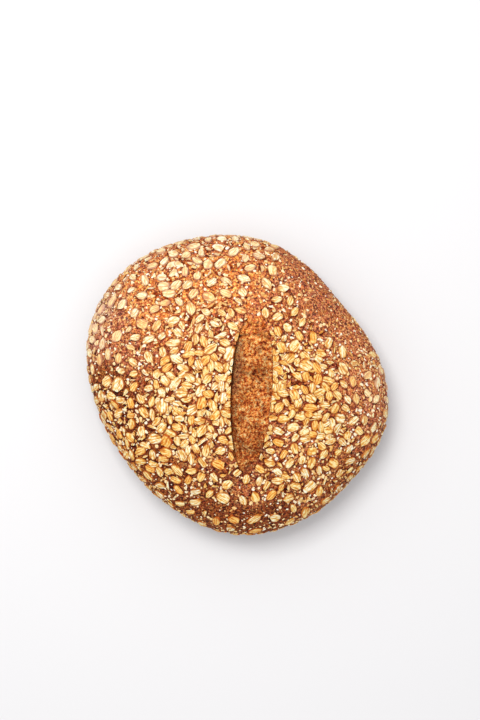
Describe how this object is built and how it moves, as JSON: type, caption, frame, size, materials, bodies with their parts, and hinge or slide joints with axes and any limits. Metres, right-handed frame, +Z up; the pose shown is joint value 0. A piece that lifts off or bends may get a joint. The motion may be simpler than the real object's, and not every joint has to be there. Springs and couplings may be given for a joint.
{
  "type": "sourdough loaf",
  "caption": "Round sourdough loaf with a flat base, one long lengthwise score across the crown and rolled oats baked onto the crust.",
  "frame": {"origin": "middle of the loaf's outline seen from above, on the surface it rests on", "axes": "+Z up out of the crown, +Y towards the end where the score starts, +X to the side of the score's shallow lip"},
  "size_m": [0.2412, 0.2397, 0.0862],
  "materials": {
    "crust": null,
    "oats": "rolled oats baked onto the crust, cream with toasted rims; matte"
  },
  "bodies": {
    "root": {"loaf": "crust"}
  },
  "joints": []
}
